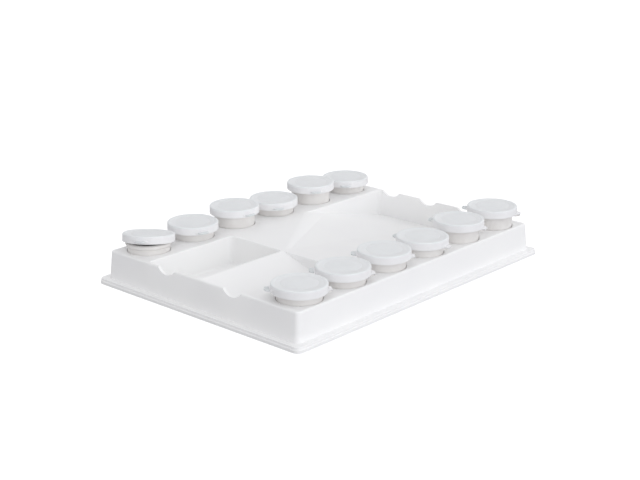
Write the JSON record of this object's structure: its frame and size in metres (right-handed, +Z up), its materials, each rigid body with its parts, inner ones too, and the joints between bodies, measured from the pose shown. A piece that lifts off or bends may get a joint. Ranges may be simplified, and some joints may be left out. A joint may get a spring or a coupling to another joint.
{
  "type": "mixing palette",
  "caption": "Rectangular moulded paint mixing palette: a deep well, a slanted well and a wide ramp between two rows of lift-out pots with flip-top lids.",
  "frame": {"origin": "middle of the tray's underside, on the surface it stands on", "axes": "+X along the two rows of pots, towards the deep end of the ramp; +Y towards the back row; +Z up"},
  "size_m": [0.28, 0.2056, 0.0416],
  "materials": {
    "tray": "satin moulded white polystyrene",
    "pot": "translucent moulded polyethylene",
    "lid": "translucent moulded polyethylene"
  },
  "bodies": {
    "tray": {"tray": "tray"},
    "pot_front_1": {"pot_front_1": "pot"},
    "lid_front_1": {"lid_front_1": "lid"},
    "pot_front_2": {"pot_front_2": "pot"},
    "lid_front_2": {"lid_front_2": "lid"},
    "pot_front_3": {"pot_front_3": "pot"},
    "lid_front_3": {"lid_front_3": "lid"},
    "pot_front_4": {"pot_front_4": "pot"},
    "lid_front_4": {"lid_front_4": "lid"},
    "pot_front_5": {"pot_front_5": "pot"},
    "lid_front_5": {"lid_front_5": "lid"},
    "pot_front_6": {"pot_front_6": "pot"},
    "lid_front_6": {"lid_front_6": "lid"},
    "pot_back_1": {"pot_back_1": "pot"},
    "lid_back_1": {"lid_back_1": "lid"},
    "pot_back_2": {"pot_back_2": "pot"},
    "lid_back_2": {"lid_back_2": "lid"},
    "pot_back_3": {"pot_back_3": "pot"},
    "lid_back_3": {"lid_back_3": "lid"},
    "pot_back_4": {"pot_back_4": "pot"},
    "lid_back_4": {"lid_back_4": "lid"},
    "pot_back_5": {"pot_back_5": "pot"},
    "lid_back_5": {"lid_back_5": "lid"},
    "pot_back_6": {"pot_back_6": "pot"},
    "lid_back_6": {"lid_back_6": "lid"}
  },
  "joints": [
    {"name": "lift_front_1", "type": "slide", "parent": "tray", "child": "pot_front_1", "axis": [0, 0, 1], "range_m": [0, 0.045]},
    {"name": "flip_front_1", "type": "hinge", "parent": "pot_front_1", "child": "lid_front_1", "pos_m": [-0.09427, -0.09094, 0.0304], "axis": [0.6428, 0.766, 0], "range_deg": [0, 68]},
    {"name": "lift_front_2", "type": "slide", "parent": "tray", "child": "pot_front_2", "axis": [0, 0, 1], "range_m": [0, 0.045]},
    {"name": "flip_front_2", "type": "hinge", "parent": "pot_front_2", "child": "lid_front_2", "pos_m": [-0.05195, -0.09315, 0.031], "axis": [0.7431, 0.6691, 0], "range_deg": [0, 88]},
    {"name": "lift_front_3", "type": "slide", "parent": "tray", "child": "pot_front_3", "axis": [0, 0, 1], "range_m": [0, 0.045]},
    {"name": "flip_front_3", "type": "hinge", "parent": "pot_front_3", "child": "lid_front_3", "pos_m": [-0.0075, -0.09315, 0.0322], "axis": [0.7431, 0.6691, 0], "range_deg": [0, 102]},
    {"name": "lift_front_4", "type": "slide", "parent": "tray", "child": "pot_front_4", "axis": [0, 0, 1], "range_m": [0, 0.045]},
    {"name": "flip_front_4", "type": "hinge", "parent": "pot_front_4", "child": "lid_front_4", "pos_m": [0.0268, -0.09832, 0.0316], "axis": [0.9781, 0.2079, 0], "range_deg": [0, 110]},
    {"name": "lift_front_5", "type": "slide", "parent": "tray", "child": "pot_front_5", "axis": [0, 0, 1], "range_m": [0, 0.045]},
    {"name": "flip_front_5", "type": "hinge", "parent": "pot_front_5", "child": "lid_front_5", "pos_m": [0.07347, -0.09772, 0.0348], "axis": [0.9511, 0.309, 0], "range_deg": [0, 110]},
    {"name": "lift_front_6", "type": "slide", "parent": "tray", "child": "pot_front_6", "axis": [0, 0, 1], "range_m": [0, 0.045]},
    {"name": "flip_front_6", "type": "hinge", "parent": "pot_front_6", "child": "lid_front_6", "pos_m": [0.12145, -0.09623, 0.0356], "axis": [0.8829, 0.4695, 0], "range_deg": [0, 110]},
    {"name": "lift_back_1", "type": "slide", "parent": "tray", "child": "pot_back_1", "axis": [0, 0, 1], "range_m": [0, 0.045]},
    {"name": "flip_back_1", "type": "hinge", "parent": "pot_back_1", "child": "lid_back_1", "pos_m": [-0.09247, 0.08846, 0.0284], "axis": [-0.5299, 0.848, 0], "range_deg": [-9, 31]},
    {"name": "lift_back_2", "type": "slide", "parent": "tray", "child": "pot_back_2", "axis": [0, 0, 1], "range_m": [0, 0.045]},
    {"name": "flip_back_2", "type": "hinge", "parent": "pot_back_2", "child": "lid_back_2", "pos_m": [-0.05915, 0.09747, 0.0312], "axis": [-0.9397, 0.342, 0], "range_deg": [0, 110]},
    {"name": "lift_back_3", "type": "slide", "parent": "tray", "child": "pot_back_3", "axis": [0, 0, 1], "range_m": [0, 0.045]},
    {"name": "flip_back_3", "type": "hinge", "parent": "pot_back_3", "child": "lid_back_3", "pos_m": [-0.01916, 0.09859, 0.0346], "axis": [-0.9903, 0.1392, 0], "range_deg": [0, 110]},
    {"name": "lift_back_4", "type": "slide", "parent": "tray", "child": "pot_back_4", "axis": [0, 0, 1], "range_m": [0, 0.045]},
    {"name": "flip_back_4", "type": "hinge", "parent": "pot_back_4", "child": "lid_back_4", "pos_m": [0.03453, 0.09504, 0.031], "axis": [-0.829, 0.5592, 0], "range_deg": [0, 110]},
    {"name": "lift_back_5", "type": "slide", "parent": "tray", "child": "pot_back_5", "axis": [0, 0, 1], "range_m": [0, 0.045]},
    {"name": "flip_back_5", "type": "hinge", "parent": "pot_back_5", "child": "lid_back_5", "pos_m": [0.07898, 0.09504, 0.0356], "axis": [-0.829, 0.5592, 0], "range_deg": [0, 110]},
    {"name": "lift_back_6", "type": "slide", "parent": "tray", "child": "pot_back_6", "axis": [0, 0, 1], "range_m": [0, 0.045]},
    {"name": "flip_back_6", "type": "hinge", "parent": "pot_back_6", "child": "lid_back_6", "pos_m": [0.12747, 0.09152, 0.0312], "axis": [-0.6691, 0.7431, 0], "range_deg": [0, 110]}
  ]
}
